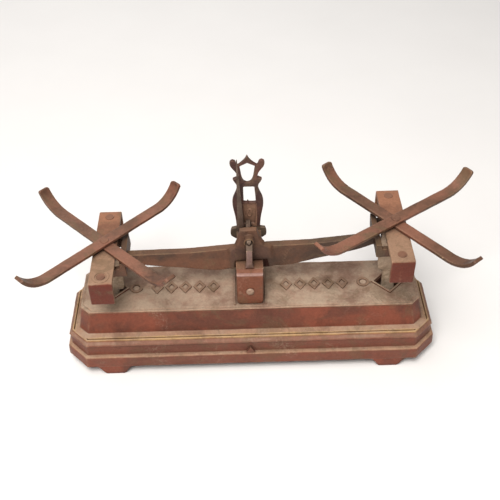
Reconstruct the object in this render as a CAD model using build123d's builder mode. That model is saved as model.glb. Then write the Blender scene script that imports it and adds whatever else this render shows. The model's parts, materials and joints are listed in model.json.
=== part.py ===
"""Equal arm counter scale: cast iron base, rocking beam on knife edges, two pan crosses.

Millimetres, +Z up. The origin lies on the resting surface, under the middle of the whole scale
with its crosses, which is CENTRE_X to the right of the base's own centre.
The long side of the base runs along X, and the front is towards -Y.
The beam stands at the lower stop of its left side, as it does when the scale is not in use.
"""
import os
from math import asin, cos, degrees, radians, sin, sqrt

from build123d import *

# Place of the origin, measured from the centre of the base
CENTRE_X = 6.15

# Base casting
TOP_LENGTH = 340.4
TOP_DEPTH = 63.6
TOP_CHAMFER = 9.2
TOP_Z = 72.5
TOP_THICKNESS = 5.0
SKIRT_Z = 11.0
SKIRT_STEP = 19.8
LEDGE_Z = 43.0
LEDGE_RISE = 3.0
LEDGE_INNER_STEP = 5.0
BEAD_RISE = 1.4
GROOVE_INNER_STEP = 10.2
GROOVE_OUTER_STEP = 11.0
LEDGE_OUTER_STEP = 13.0
PLINTH_STEP = 15.4
CORNICE_STEP = 16.4
PLINTH_Z = 24.8
PEAK_HALF = 5.8
PEAK_TOP = 33.3
WALL = 6.0
FOOT_X = 141.5
FOOT_TOP_HALF = 19.5
FOOT_BOTTOM_HALF = 8.7
FOOT_DEPTH = 8.0

# Ornament of the top plate
LOZENGE_ROW_X = 66.0
LOZENGE_PITCH = 14.4
LOZENGE_HALF_X = 6.4
LOZENGE_HALF_Y = 9.0
RING_RADIUS = 6.5

# Beam and its three knife edges
ARM = 141.6
KNIFE_Z = 142.0
END_DROP = 10.0
TILT = 3.6
ARM_THICKNESS = 8.0
HUB_HALF = 16.4
HUB_UNDER_HALF = 15.8
HUB_BOTTOM = -21.0
HUB_TOP = 12.0
HUB_TOP_HALF = 8.5
HUB_FOOT = 22.0
HUB_SLOPE = 2.4
HUB_SHOULDER = -13.0
HUB_CORE_HALF = 12.0
HUB_CORE_TOP = -2.0
HUB_REAR = 8.0
ARCH_FRONT = -7.5
ARCH_REAR = -3.5
BOSS_FRONT = -14.5
BOSS_RADIUS = 5.0
BOSS_SLOT_HALF = 3.5
WEB_UNDER_HUB = -27.5
FORK_HALF_DEPTH = 24.0
FORK_CHEEK = 5.0
FORK_TOP = -11.5
FORK_BOTTOM = -21.5
FORK_START = 121.0
FORK_THROAT = 126.5
BAR_TOP = -5.5
BAR_BOTTOM = -15.5
FORK_END = 148.5
KNIFE_GAP = 0.1
CENTRE_KNIFE_HALF = 2.0
CENTRE_KNIFE_FLANK = 3.4
CENTRE_KNIFE_HEIGHT = 4.8
CENTRE_KNIFE_FRONT = -17.0
CENTRE_KNIFE_REAR = 16.5
END_KNIFE_HALF = 48.8
END_KNIFE_HALF_WIDTH = 3.5
END_KNIFE_FLANK = 6.0
END_KNIFE_HEIGHT = 9.0

# Needle
NEEDLE_X = -7.6
NEEDLE_TIP_X = -9.8
NEEDLE_TIP_Z = 224.4
NEEDLE_THICKNESS = 1.6
NEEDLE_RIVET_Z = 132.0
NEEDLE_RIVET_RADIUS = 1.2

# Pillar, its two posts and the plate in front
PILLAR_HALF = 13.5
PILLAR_FRONT = -18.0
PILLAR_REAR = 17.0
PILLAR_TOP = 112.5
POST_HALF = 3.0
POST_INNER = 11.5
POST_TOP = 136.0
BEARING_TOP = 143.6
CHEEK_FRONT = -27.0
CHEEK_HALF = 13.0
RIVET_Z = 90.5

# Lyre
LYRE_THICKNESS = 4.0
PANEL_RECESS = 1.6
LYRE_FOOT_HALF = 17.4
LYRE_SCREW_Z = 104.0

# Pan carriers
STIRRUP_LENGTH = 108.4
STIRRUP_WIDTH = 22.5
STIRRUP_THICKNESS = 4.5
STIRRUP_TOP = 9.0
LEG_HEIGHT = 27.0
BEARING_Y = 44.0
BEARING_LENGTH = 9.0
BEARING_RIVET_RADIUS = 2.5
RIVET_HEAD_RADIUS = 4.4
RIVET_HEAD_HEIGHT = 0.6
CROSS_RIVET_RADIUS = 3.0
END_BEARING_LIP = -1.6
WEB_THICKNESS = 5.0
WEB_HALF = 12.5
WEB_SHOULDER = -49.3
SHOULDER_RADIUS = 4.5
END_WINDOW_DEPTH = 13.5
STEM_HALF = 6.5
STEM_DROP = 100.0
STEM_PIN_RADIUS = 3.0

# Crosses
STRIP_WIDTH = 12.0
STRIP_THICKNESS = 3.5
STRIP_STRAIGHT = 68.0
STRIP_REACH = 96.5
STRIP_RISE = 18.0
RIGHT_LOWER_TURN = -6.0
RIGHT_UPPER_TURN = -11.0

# Lower stay
STAY_Z = 42.0
STAY_HALF_DEPTH = 7.0
STAY_SLOT_HALF = 3.1
STAY_PIN_RADIUS = 4.0
STAY_FIT = 0.05
OPEN_PIVOT_GAP = 0.35
HANGER_OUTER = 11.6
HANGER_CHEEK = 4.0

# Holes and castings on the top plate
STEM_HOLE_HALF = 14.0
STEM_RIM_HALF = 17.0
RIM_HEIGHT = 1.2
RING_X = 116.4
RING_BORE = 3.4

os.makedirs("parts", exist_ok=True)


def upright(y, x=0.0, z=0.0, turn=0.0):
    """A plane that faces the front, with its own x to the right and its own y upwards."""
    return Plane(
        origin=(x, y, z),
        x_dir=(cos(radians(turn)), 0, sin(radians(turn))),
        z_dir=(0, -1, 0),
    )


def beam_point(x, z):
    """A point given in the level beam, from the centre knife edge, at the beam's rest tilt."""
    tilted = upright(0, 0, 0, TILT).from_local_coords(Vector(x, z, 0))
    return tilted.X, tilted.Z


def save(part, name):
    """Move a finished piece to the scale's own origin, label it and write it."""
    moved = Pos(-CENTRE_X, 0, 0) * part
    moved.label = name
    export_step(moved, f"parts/{name}.step")


LEFT_X, LEFT_DROP = beam_point(-ARM, -END_DROP)
RIGHT_X, RIGHT_DROP = beam_point(ARM, -END_DROP)
LEFT_KNIFE_Z = KNIFE_Z + LEFT_DROP
RIGHT_KNIFE_Z = KNIFE_Z + RIGHT_DROP


# ---------------------------------------------------------------- base casting
def base_outline(height, step, corner=None):
    """The chamfered rectangle of the base, a step outside the top plate's outline."""
    with BuildSketch(Plane.XY.offset(height)) as outline:
        Rectangle(TOP_LENGTH + 2 * step, TOP_DEPTH + 2 * step)
        chamfer(outline.vertices(), corner or TOP_CHAMFER + (2 - sqrt(2)) * step)
    return outline.sketch


def lozenge_points(half_x, half_y):
    """Corners of a lozenge that stands on its point."""
    return [(-half_x, 0), (0, -half_y), (half_x, 0), (0, half_y)]


def base_band(low, low_step, high, high_step, mode=Mode.ADD):
    """A band of the base between two heights, with flat sloping sides."""
    loft([base_outline(low, low_step), base_outline(high, high_step)], ruled=True, mode=mode)


with BuildPart() as base_casting:
    base_band(SKIRT_Z, SKIRT_STEP, PLINTH_Z, SKIRT_STEP - 0.6)
    base_band(PLINTH_Z, PLINTH_STEP, LEDGE_Z - 5, PLINTH_STEP + 0.2)
    base_band(LEDGE_Z - 5, CORNICE_STEP, LEDGE_Z - 3, CORNICE_STEP)
    base_band(LEDGE_Z - 3, CORNICE_STEP, LEDGE_Z - 0.8, LEDGE_OUTER_STEP + 0.8)
    base_band(LEDGE_Z - 0.8, LEDGE_OUTER_STEP, LEDGE_Z, LEDGE_OUTER_STEP)
    # bead along the ledge, and the groove inside it
    base_band(LEDGE_Z, LEDGE_OUTER_STEP, LEDGE_Z + BEAD_RISE, LEDGE_OUTER_STEP - 0.4)
    base_band(
        LEDGE_Z + 0.2, GROOVE_OUTER_STEP, LEDGE_Z + 2, GROOVE_OUTER_STEP, mode=Mode.SUBTRACT
    )
    loft(
        [
            base_outline(LEDGE_Z, GROOVE_INNER_STEP),
            base_outline(LEDGE_Z + BEAD_RISE, GROOVE_INNER_STEP),
            base_outline(LEDGE_Z + LEDGE_RISE, LEDGE_INNER_STEP, TOP_CHAMFER),
            base_outline(TOP_Z - 1, 0.4, TOP_CHAMFER),
            base_outline(TOP_Z, 0, TOP_CHAMFER),
        ],
        ruled=True,
    )
    # hollow, open underneath
    base_band(0, SKIRT_STEP - WALL, LEDGE_Z - 5, PLINTH_STEP - WALL, mode=Mode.SUBTRACT)
    base_band(LEDGE_Z - 6, -WALL, TOP_Z - TOP_THICKNESS, -WALL, mode=Mode.SUBTRACT)
    # small peak in the middle of the skirt's top edge, in front
    with BuildSketch(upright(-TOP_DEPTH / 2 - SKIRT_STEP + 0.6)):
        with BuildLine():
            Polyline(
                (-PEAK_HALF, PLINTH_Z - 1),
                (PEAK_HALF, PLINTH_Z - 1),
                (0, PEAK_TOP),
                close=True,
            )
        make_face()
    extrude(amount=-4)
    # bracket feet, an ogee on each side
    for side in (-1, 1):
        front = side * (TOP_DEPTH / 2 + SKIRT_STEP)
        with BuildSketch(upright(front - side * 0.2)):
            for x in (-FOOT_X, FOOT_X):
                with BuildLine(mode=Mode.PRIVATE) as foot_line:
                    Bezier(
                        (FOOT_TOP_HALF, SKIRT_Z),
                        (FOOT_BOTTOM_HALF + 4, SKIRT_Z),
                        (FOOT_TOP_HALF - 6, 0),
                        (FOOT_BOTTOM_HALF, 0),
                    )
                    Line((FOOT_BOTTOM_HALF, 0), (0, 0))
                    Line((FOOT_TOP_HALF, SKIRT_Z), (FOOT_TOP_HALF, SKIRT_Z + 1))
                    Line((FOOT_TOP_HALF, SKIRT_Z + 1), (0, SKIRT_Z + 1))
                    mirror(about=Plane.YZ)
                with Locations((x, 0)):
                    add(make_face(foot_line.edges(), mode=Mode.PRIVATE))
        extrude(amount=side * FOOT_DEPTH)
    # raised rims round the stem holes
    with BuildSketch(Plane.XY.offset(TOP_Z)):
        with Locations((LEFT_X, 0), (RIGHT_X, 0)):
            Rectangle(STEM_RIM_HALF * sqrt(2), STEM_RIM_HALF * sqrt(2), rotation=45)
    extrude(amount=RIM_HEIGHT)
    with BuildSketch(Plane.XY.offset(TOP_Z - 8)):
        with Locations((LEFT_X, 0), (RIGHT_X, 0)):
            Rectangle(STEM_HOLE_HALF * sqrt(2), STEM_HOLE_HALF * sqrt(2), rotation=45)
    extrude(amount=12, mode=Mode.SUBTRACT)
    # raised edges of the pillar's seat, rings round the seal plugs and a row of lozenges
    with BuildSketch(Plane.XY.offset(TOP_Z)):
        with Locations((-15.6, 1), (15.6, 1)):
            Rectangle(1.6, 58)
        with Locations((-RING_X, 0), (RING_X, 0)):
            Circle(RING_RADIUS)
    extrude(amount=1)
    with BuildSketch(Plane.XY.offset(TOP_Z - 2)):
        with Locations((-RING_X, 0), (RING_X, 0)):
            Circle(RING_BORE)
    extrude(amount=4, mode=Mode.SUBTRACT)
    with BuildSketch(Plane.XY.offset(TOP_Z)):
        for side in (-1, 1):
            with GridLocations(LOZENGE_PITCH, 1, 5, 1):
                with Locations((side * LOZENGE_ROW_X, 0)):
                    Polygon(lozenge_points(LOZENGE_HALF_X, LOZENGE_HALF_Y))
                    Polygon(
                        lozenge_points(LOZENGE_HALF_X - 3, LOZENGE_HALF_Y - 4.4),
                        mode=Mode.SUBTRACT,
                    )
    extrude(amount=0.8)
    # holes for the pillar screws
    with BuildSketch(Plane.XY.offset(TOP_Z - 8)):
        with GridLocations(17, 1, 2, 1):
            Circle(3)
    extrude(amount=12, mode=Mode.SUBTRACT)
save(base_casting.part, "base_casting")


# ---------------------------------------------------------------- pillar
with BuildPart() as pillar:
    with BuildSketch(upright(PILLAR_FRONT)):
        with Locations((0, (TOP_Z + PILLAR_TOP) / 2)):
            Rectangle(2 * PILLAR_HALF, PILLAR_TOP - TOP_Z)
    extrude(amount=-(PILLAR_REAR - PILLAR_FRONT))
    # the two posts, with a shoulder at the foot
    for outer in (PILLAR_FRONT, PILLAR_REAR):
        side = 1 if outer > 0 else -1
        with BuildSketch(upright(side * POST_INNER)):
            with Locations((0, (PILLAR_TOP + POST_TOP) / 2)):
                Rectangle(2 * POST_HALF, POST_TOP - PILLAR_TOP)
            with Locations((0, PILLAR_TOP + 1)):
                Trapezoid(4 * POST_HALF, 6, 60)
        extrude(amount=-(outer - side * POST_INNER))
    # rivet hole from front to back, screw holes from below
    with BuildSketch(upright(PILLAR_FRONT - 1)):
        with Locations((0, RIVET_Z)):
            Circle(3)
    extrude(amount=-60, mode=Mode.SUBTRACT)
    with BuildSketch(Plane.XY.offset(TOP_Z - 1)):
        with GridLocations(17, 1, 2, 1):
            Circle(3)
    extrude(amount=17, mode=Mode.SUBTRACT)
    # blind hole for the lyre's screw
    with BuildSketch(upright(PILLAR_REAR)):
        with Locations((0, LYRE_SCREW_Z)):
            Circle(2)
    extrude(amount=8, mode=Mode.SUBTRACT)
save(pillar.part, "pillar")


with BuildPart() as pillar_front_plate:
    with BuildSketch(upright(PILLAR_FRONT)):
        with Locations((0, (TOP_Z + PILLAR_TOP) / 2)):
            Rectangle(2 * CHEEK_HALF, PILLAR_TOP - TOP_Z)
    extrude(amount=PILLAR_FRONT - CHEEK_FRONT)
    corners = pillar_front_plate.edges().filter_by(Axis.Y).group_by(Axis.Z)[0]
    fillet(corners, 3.5)
    chamfer(pillar_front_plate.faces().sort_by(Axis.Y)[0].edges(), 0.8)
    with BuildSketch(upright(PILLAR_FRONT + 1)):
        with Locations((0, RIVET_Z)):
            Circle(3)
    extrude(amount=20, mode=Mode.SUBTRACT)
save(pillar_front_plate.part, "pillar_front_plate")


with BuildPart() as pillar_rivet:
    with BuildSketch(upright(PILLAR_REAR + LYRE_THICKNESS)):
        with Locations((0, RIVET_Z)):
            Circle(3)
    extrude(amount=PILLAR_REAR + LYRE_THICKNESS - CHEEK_FRONT)
    # rounded heads, front and rear
    for face, amount in ((CHEEK_FRONT, 2.2), (PILLAR_REAR + LYRE_THICKNESS, -2.2)):
        with BuildSketch(upright(face)):
            with Locations((0, RIVET_Z)):
                Circle(4)
        extrude(amount=amount)
    fillet(pillar_rivet.faces().sort_by(Axis.Y)[0].edges(), 1.8)
    fillet(pillar_rivet.faces().sort_by(Axis.Y)[-1].edges(), 1.8)
save(pillar_rivet.part, "pillar_rivet")


with BuildPart() as pillar_screws:
    for x in (-8.5, 8.5):
        with BuildSketch(Plane.XY.offset(TOP_Z - TOP_THICKNESS - HANGER_CHEEK)):
            with Locations((x, 0)):
                Circle(3)
        extrude(amount=TOP_THICKNESS + HANGER_CHEEK + 15)
        with BuildSketch(Plane.XY.offset(TOP_Z - TOP_THICKNESS - HANGER_CHEEK)):
            with Locations((x, 0)):
                RegularPolygon(5, 6)
        extrude(amount=-4)
save(pillar_screws.part, "pillar_screws")


def knife_profile(half, flank, height):
    """A knife's section: its edge at the origin, its flanks rising, its back square."""
    Polyline((0, 0), (half, flank), (half, height), (-half, height), (-half, flank), close=True)


def centre_bearing(side):
    """The hardened V block that sits on a post and carries the centre knife."""
    inner = side * POST_INNER
    outer = PILLAR_REAR if side > 0 else PILLAR_FRONT
    with BuildPart() as block:
        with BuildSketch(upright(inner)):
            with Locations((0, (POST_TOP + BEARING_TOP) / 2)):
                Rectangle(2 * POST_HALF, BEARING_TOP - POST_TOP)
            with BuildLine():
                apex = KNIFE_Z - KNIFE_GAP
                Polyline(
                    (0, apex),
                    (POST_HALF - 0.3, BEARING_TOP),
                    (-POST_HALF + 0.3, BEARING_TOP),
                    close=True,
                )
            make_face(mode=Mode.SUBTRACT)
        extrude(amount=-(outer - inner))
    return block.part


save(centre_bearing(-1), "front_bearing")
save(centre_bearing(1), "rear_bearing")


# ---------------------------------------------------------------- lyre
with BuildPart() as lyre:
    with BuildSketch(upright(PILLAR_REAR)):
        with BuildLine():
            # roof, notch and ear
            Bezier((0, 222.6), (2.2, 217), (5.5, 214), (9.4, 211.4))
            Line((9.4, 211.4), (10.6, 214.6))
            ThreePointArc((10.6, 214.6), (14.4, 216.9), (16.3, 213.4))
            Bezier((16.3, 213.4), (15.8, 208), (9.8, 206), (9.4, 197.8))
            # spur
            Line((9.4, 197.8), (13.9, 195.6))
            Line((13.9, 195.6), (12.2, 192))
            # bulging leg
            Spline((12.2, 192), (10.4, 188.6), (14.3, 173), (13.3, 154), (11.6, 136))
            # collar
            Line((11.6, 136), (16.4, 135))
            ThreePointArc((16.4, 135), (17.9, 130.4), (LYRE_FOOT_HALF, 125.6))
            Line((LYRE_FOOT_HALF, 125.6), (9, 119))
            # tail behind the pillar, with a wide foot
            Polyline((9, 119), (9, 99), (21.5, 95), (21.5, 82), (0, 82))
            mirror(about=Plane.YZ)
        make_face()
        # upper opening
        with BuildLine():
            Line((0, 214.6), (7.6, 210.6))
            Bezier((7.6, 210.6), (5.6, 204), (6.8, 191.4), (0, 191.4))
            mirror(about=Plane.YZ)
        make_face(mode=Mode.SUBTRACT)
        # lower opening, with a small index on its sill
        with BuildLine():
            Polyline(
                (-4.2, 186.6),
                (6.4, 186.8),
                (7.8, 167.2),
                (0.7, 167.4),
                (0, 170),
                (-0.7, 167.4),
                (-4.0, 167.6),
                close=True,
            )
        make_face(mode=Mode.SUBTRACT)
        with Locations((0, LYRE_SCREW_Z)):
            Circle(2, mode=Mode.SUBTRACT)
        with Locations((0, RIVET_Z)):
            Circle(3, mode=Mode.SUBTRACT)
    extrude(amount=-LYRE_THICKNESS)
    # the panel between the legs is set back, with an oval boss on it
    with BuildSketch(upright(PILLAR_REAR)):
        with BuildLine():
            Polyline((-4.9, 166.4), (8.4, 166.0), (6.6, 141), (-4.6, 141), close=True)
        make_face()
    extrude(amount=-PANEL_RECESS, mode=Mode.SUBTRACT)
    with BuildSketch(upright(PILLAR_REAR + PANEL_RECESS)):
        with Locations((1.4, 154)):
            Ellipse(2.4, 5)
            Ellipse(1.2, 3.6, mode=Mode.SUBTRACT)
    extrude(amount=1)
save(lyre.part, "lyre")


with BuildPart() as lyre_screw:
    with BuildSketch(upright(PILLAR_REAR + LYRE_THICKNESS)):
        with Locations((0, LYRE_SCREW_Z)):
            Circle(2)
    extrude(amount=LYRE_THICKNESS + 8)
    with BuildSketch(upright(PILLAR_REAR + LYRE_THICKNESS)):
        with Locations((0, LYRE_SCREW_Z)):
            Circle(3.6)
    extrude(amount=-2)
    chamfer(lyre_screw.faces().sort_by(Axis.Y)[-1].edges(), 0.6)
    with BuildSketch(upright(PILLAR_REAR + LYRE_THICKNESS + 1.2)):
        with Locations((0, LYRE_SCREW_Z)):
            Rectangle(8, 1)
    extrude(amount=-1, mode=Mode.SUBTRACT)
save(lyre_screw.part, "lyre_screw")


# ---------------------------------------------------------------- beam
def beam_plane(y):
    """The tilted beam's own plane: its origin on the centre knife edge."""
    return upright(y, 0, KNIFE_Z, TILT)


def hub_outline(y, inset):
    """The bell-shaped outline of the hub's front plate, smaller by an inset at the sides."""
    right = [
        (HUB_UNDER_HALF, WEB_UNDER_HUB),
        (HUB_HALF, -32),
        (17.2, -38),
        (HUB_FOOT + 8 - 4 * inset, -38),
        (HUB_FOOT - inset, HUB_SHOULDER - inset / 2),
        (15.5 - inset, -8.5 - inset / 2),
        (11.8 - inset, -1 - inset / 2),
        (HUB_TOP_HALF + 1 - inset / 2, HUB_TOP - 5),
        (HUB_TOP_HALF - inset / 2, HUB_TOP - inset / 2),
    ]
    left = [(-x, z) for x, z in reversed(right)]
    with BuildSketch(beam_plane(y)) as outline:
        with BuildLine():
            Polyline(*right, *left, close=True)
        make_face()
    return outline.sketch


with BuildPart() as beam:
    # arms: straight on top, with a belly near the hub
    with BuildSketch(beam_plane(0)):
        with BuildLine():
            Polyline((0, -14), (HUB_HALF, -14), (60, -15.2), (FORK_START + 1, -12.5))
            Line((FORK_START + 1, -12.5), (FORK_START + 1, FORK_BOTTOM))
            Spline(
                (FORK_START + 1, FORK_BOTTOM),
                (100, -28.6),
                (70, -34.2),
                (45, -39.6),
                (30, -41.3),
                (17.2, -38.5),
            )
            Polyline(
                (17.2, -38.5),
                (HUB_HALF, -32),
                (HUB_UNDER_HALF, WEB_UNDER_HUB),
                (0, WEB_UNDER_HUB),
            )
            mirror(about=Plane.YZ)
        make_face()
    extrude(amount=ARM_THICKNESS / 2, both=True)
    # hub: a bell-shaped plate with sloping sides in front, and a block behind it
    loft([hub_outline(ARCH_REAR, 0), hub_outline(ARCH_FRONT, HUB_SLOPE)], ruled=True)
    with BuildSketch(beam_plane(HUB_REAR)):
        with Locations((0, (HUB_BOTTOM + HUB_CORE_TOP) / 2)):
            Rectangle(2 * HUB_CORE_HALF, HUB_CORE_TOP - HUB_BOTTOM)
        with Locations((0, HUB_CORE_TOP / 2 + 0.5)):
            Rectangle(2 * CENTRE_KNIFE_HALF + 5, HUB_CORE_TOP + 9)
    extrude(amount=HUB_REAR - ARCH_REAR)
    # horseshoe boss round the knife, which reaches forwards over the front bearing
    with BuildSketch(beam_plane(ARCH_FRONT)):
        with Locations((0, 1)):
            Circle(BOSS_RADIUS)
            Circle(BOSS_SLOT_HALF, mode=Mode.SUBTRACT)
        with Locations((0, 1 - BOSS_RADIUS)):
            Rectangle(2 * BOSS_SLOT_HALF, 2 * BOSS_RADIUS, mode=Mode.SUBTRACT)
    extrude(amount=ARCH_FRONT - BOSS_FRONT)
    # a fork at each end: a bar across and two cheeks that hold the end knife
    with BuildSketch(beam_plane(0)):
        for side in (-1, 1):
            with Locations((side * (FORK_START + FORK_END) / 2, (FORK_TOP + FORK_BOTTOM) / 2)):
                Rectangle(FORK_END - FORK_START, FORK_TOP - FORK_BOTTOM)
    extrude(amount=FORK_HALF_DEPTH, both=True)
    with BuildSketch(beam_plane(0)):
        for side in (-1, 1):
            with Locations((side * (FORK_THROAT + 20), (FORK_TOP + FORK_BOTTOM) / 2)):
                Rectangle(40, FORK_TOP - FORK_BOTTOM + 2)
    extrude(amount=FORK_HALF_DEPTH - FORK_CHEEK, both=True, mode=Mode.SUBTRACT)
    with BuildSketch(beam_plane(0)):
        for side in (-1, 1):
            with Locations((side * (FORK_START + FORK_THROAT) / 2, (BAR_TOP + BAR_BOTTOM) / 2)):
                Rectangle(FORK_THROAT - FORK_START, BAR_TOP - BAR_BOTTOM)
    extrude(amount=FORK_HALF_DEPTH, both=True)
    # seats of the three knives
    with BuildSketch(beam_plane(0)):
        with BuildLine():
            knife_profile(CENTRE_KNIFE_HALF, CENTRE_KNIFE_FLANK, CENTRE_KNIFE_HEIGHT)
        make_face()
    extrude(amount=20, both=True, mode=Mode.SUBTRACT)
    for x, z in ((LEFT_X, LEFT_KNIFE_Z), (RIGHT_X, RIGHT_KNIFE_Z)):
        with BuildSketch(upright(0, x, z, TILT + 180)):
            with BuildLine():
                knife_profile(END_KNIFE_HALF_WIDTH, END_KNIFE_FLANK, END_KNIFE_HEIGHT)
            make_face()
        extrude(amount=2 * FORK_HALF_DEPTH, both=True, mode=Mode.SUBTRACT)
    # blind hole for the needle's rivet
    with BuildSketch(upright(HUB_REAR - 3)):
        with Locations((NEEDLE_X, NEEDLE_RIVET_Z)):
            Circle(NEEDLE_RIVET_RADIUS)
    extrude(amount=-6, mode=Mode.SUBTRACT)
save(beam.part, "beam")


with BuildPart() as centre_knife:
    with BuildSketch(beam_plane(CENTRE_KNIFE_FRONT)):
        with BuildLine():
            knife_profile(CENTRE_KNIFE_HALF, CENTRE_KNIFE_FLANK, CENTRE_KNIFE_HEIGHT)
        make_face()
    extrude(amount=CENTRE_KNIFE_FRONT - CENTRE_KNIFE_REAR)
save(centre_knife.part, "centre_knife")


with BuildPart() as needle:
    # a foot on the back of the hub, and a slender blade that has been bent to the left
    with BuildSketch(upright(HUB_REAR + NEEDLE_THICKNESS)):
        with BuildLine():
            Polyline(
                (NEEDLE_X - 3.2, KNIFE_Z - 13),
                (NEEDLE_X + 3.2, KNIFE_Z - 13),
                (NEEDLE_X + 3.2, KNIFE_Z + 3),
                (NEEDLE_TIP_X + 0.45, NEEDLE_TIP_Z),
                (NEEDLE_TIP_X - 0.45, NEEDLE_TIP_Z),
                (NEEDLE_X - 3.2, KNIFE_Z + 3),
                close=True,
            )
        make_face()
        with Locations((NEEDLE_X, NEEDLE_RIVET_Z)):
            Circle(NEEDLE_RIVET_RADIUS, mode=Mode.SUBTRACT)
    extrude(amount=NEEDLE_THICKNESS)
save(needle.part, "needle")


with BuildPart() as needle_rivet:
    with BuildSketch(upright(HUB_REAR + NEEDLE_THICKNESS)):
        with Locations((NEEDLE_X, NEEDLE_RIVET_Z)):
            Circle(NEEDLE_RIVET_RADIUS)
    extrude(amount=NEEDLE_THICKNESS + 3)
    with BuildSketch(upright(HUB_REAR + NEEDLE_THICKNESS)):
        with Locations((NEEDLE_X, NEEDLE_RIVET_Z)):
            Circle(2.4)
    extrude(amount=-1)
    chamfer(needle_rivet.faces().sort_by(Axis.Y)[-1].edges(), 0.4)
save(needle_rivet.part, "needle_rivet")


def end_knife(side):
    """The end knife of one side: edge up, right across the fork."""
    with BuildPart() as knife:
        x, z = (LEFT_X, LEFT_KNIFE_Z) if side < 0 else (RIGHT_X, RIGHT_KNIFE_Z)
        with BuildSketch(upright(0, x, z, TILT + 180)):
            with BuildLine():
                knife_profile(END_KNIFE_HALF_WIDTH, END_KNIFE_FLANK, END_KNIFE_HEIGHT)
            make_face()
        extrude(amount=END_KNIFE_HALF, both=True)
    return knife.part


save(end_knife(-1), "left_end_knife")
save(end_knife(1), "right_end_knife")


# ---------------------------------------------------------------- pan carriers
def stirrup(x, z):
    """A bent flat bar over the end knife, with a leg in front and a leg behind."""
    with BuildPart() as bar:
        with BuildSketch(Plane.YZ.offset(x)):
            with Locations((0, z + STIRRUP_TOP - LEG_HEIGHT / 2)):
                Rectangle(STIRRUP_LENGTH, LEG_HEIGHT)
            with Locations((0, z + STIRRUP_TOP - LEG_HEIGHT / 2 - STIRRUP_THICKNESS)):
                Rectangle(STIRRUP_LENGTH - 2 * STIRRUP_THICKNESS, LEG_HEIGHT, mode=Mode.SUBTRACT)
        extrude(amount=STIRRUP_WIDTH / 2, both=True)
        bends = bar.edges().filter_by(Axis.X).group_by(Axis.Z)[-1]
        fillet(bends, 3)
        with BuildSketch(Plane.XY.offset(z)):
            with Locations((x, -BEARING_Y), (x, BEARING_Y)):
                Circle(BEARING_RIVET_RADIUS)
            with Locations((x, 0)):
                Circle(CROSS_RIVET_RADIUS)
        extrude(amount=STIRRUP_TOP + 1, mode=Mode.SUBTRACT)
    return bar.part


def end_bearing(x, y, z):
    """A hardened block under the stirrup, with its V turned down onto the knife."""
    with BuildPart() as block:
        with BuildSketch(upright(y, x, z)):
            with Locations((0, (STIRRUP_TOP - STIRRUP_THICKNESS + END_BEARING_LIP) / 2)):
                Rectangle(11, STIRRUP_TOP - STIRRUP_THICKNESS - END_BEARING_LIP)
            with BuildLine():
                Polyline((0, KNIFE_GAP), (3, END_BEARING_LIP), (-3, END_BEARING_LIP), close=True)
            make_face(mode=Mode.SUBTRACT)
        extrude(amount=BEARING_LENGTH / 2, both=True)
        with BuildSketch(Plane.XY.offset(z + 2.5)):
            with Locations((x, y)):
                Circle(BEARING_RIVET_RADIUS)
        extrude(amount=STIRRUP_TOP, mode=Mode.SUBTRACT)
    return block.part


def bearing_rivets(x, z):
    """The two rivets that hold the bearings, with low flat heads on top."""
    with BuildPart() as rivets:
        with BuildSketch(Plane.XY.offset(z + 2.5)):
            with Locations((x, -BEARING_Y), (x, BEARING_Y)):
                Circle(BEARING_RIVET_RADIUS)
        extrude(amount=STIRRUP_TOP - 2.5)
        with BuildSketch(Plane.XY.offset(z + STIRRUP_TOP)):
            with Locations((x, -BEARING_Y), (x, BEARING_Y)):
                Circle(RIVET_HEAD_RADIUS)
        extrude(amount=RIVET_HEAD_HEIGHT)
        chamfer(rivets.faces().group_by(Axis.Z)[-1].edges(), RIVET_HEAD_HEIGHT / 2)
    return rivets.part


def stem_plate(x, z):
    """A flat plate that hangs from the stirrup and runs down into the base as a stem."""
    with BuildPart() as plate:
        with BuildSketch(upright(0, x, z)):
            with BuildLine():
                arc_x = WEB_HALF - SHOULDER_RADIUS
                arc_z = WEB_SHOULDER + SHOULDER_RADIUS
                Polyline((0, 1.5), (WEB_HALF, 1.5), (WEB_HALF, arc_z))
                CenterArc((arc_x, arc_z), SHOULDER_RADIUS, 0, -90)
                Polyline((arc_x, WEB_SHOULDER), (STEM_HALF, WEB_SHOULDER), (STEM_HALF, -STEM_DROP))
                CenterArc((0, -STEM_DROP), STEM_HALF, 0, -90)
                mirror(about=Plane.YZ)
            make_face()
            with Locations((0, (1.5 - END_WINDOW_DEPTH) / 2)):
                Rectangle(14, 1.5 + END_WINDOW_DEPTH, mode=Mode.SUBTRACT)
            with Locations((0, -STEM_DROP)):
                Circle(STEM_PIN_RADIUS, mode=Mode.SUBTRACT)
        extrude(amount=WEB_THICKNESS / 2, both=True)
        # flange under the stirrup
        with BuildSketch(Plane.XY.offset(z + 1.5)):
            with Locations((x, 0)):
                Rectangle(2 * WEB_HALF - 5, 20)
                Circle(CROSS_RIVET_RADIUS, mode=Mode.SUBTRACT)
        extrude(amount=STIRRUP_TOP - STIRRUP_THICKNESS - 1.5)
    return plate.part


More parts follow.
